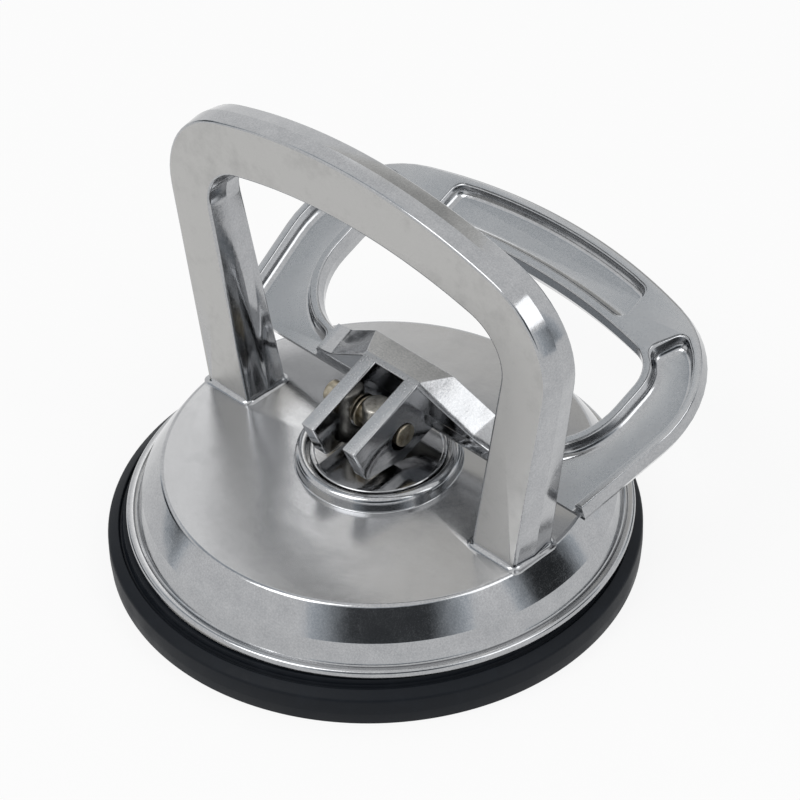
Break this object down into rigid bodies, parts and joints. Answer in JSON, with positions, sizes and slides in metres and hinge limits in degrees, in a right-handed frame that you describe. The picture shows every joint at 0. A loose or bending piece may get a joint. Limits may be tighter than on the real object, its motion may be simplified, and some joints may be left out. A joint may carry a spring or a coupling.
{
  "type": "suction lifter",
  "caption": "Cast aluminium suction lifter for floor tiles: rubber pad, bell plate with fixed D-handle, and a cam lever that pulls the pad centre up.",
  "frame": {"origin": "centre of the pad's flat suction face, on the surface it is put on", "axes": "+Z away from the suction face, X along the fixed handle and the hinge pin, +Y towards the released lever"},
  "size_m": [0.12, 0.1236, 0.1054],
  "materials": {
    "cast_aluminium": "tumbled and part polished die casting",
    "lever_aluminium": "polished die casting",
    "polished_steel": "polished",
    "black_rubber": "matt moulded",
    "plain_steel": "turned",
    "pin_steel": "cut end"
  },
  "bodies": {
    "base": {"base_casting": "cast_aluminium", "wear_plate": "polished_steel", "rubber_pad": "black_rubber"},
    "drawbar": {"insert_plate": "plain_steel", "drawbar_stud": "plain_steel", "hinge_pin": "pin_steel", "spacer_washers": "plain_steel"},
    "lever": {"lever_casting": "lever_aluminium"}
  },
  "joints": [
    {"name": "drawbar_slide", "type": "slide", "parent": "base", "child": "drawbar", "axis": [0, 0, 1], "range_m": [0, 0.0047], "deforming": ["rubber_pad"]},
    {"name": "lever_hinge", "type": "hinge", "parent": "drawbar", "child": "lever", "pos_m": [0, 0, 0.035], "axis": [1, 0, 0], "range_deg": [0, 46]}
  ],
  "couplings": [
    {"joint": "drawbar_slide", "follows": "lever_hinge", "m_per_rad": 0.00573}
  ]
}
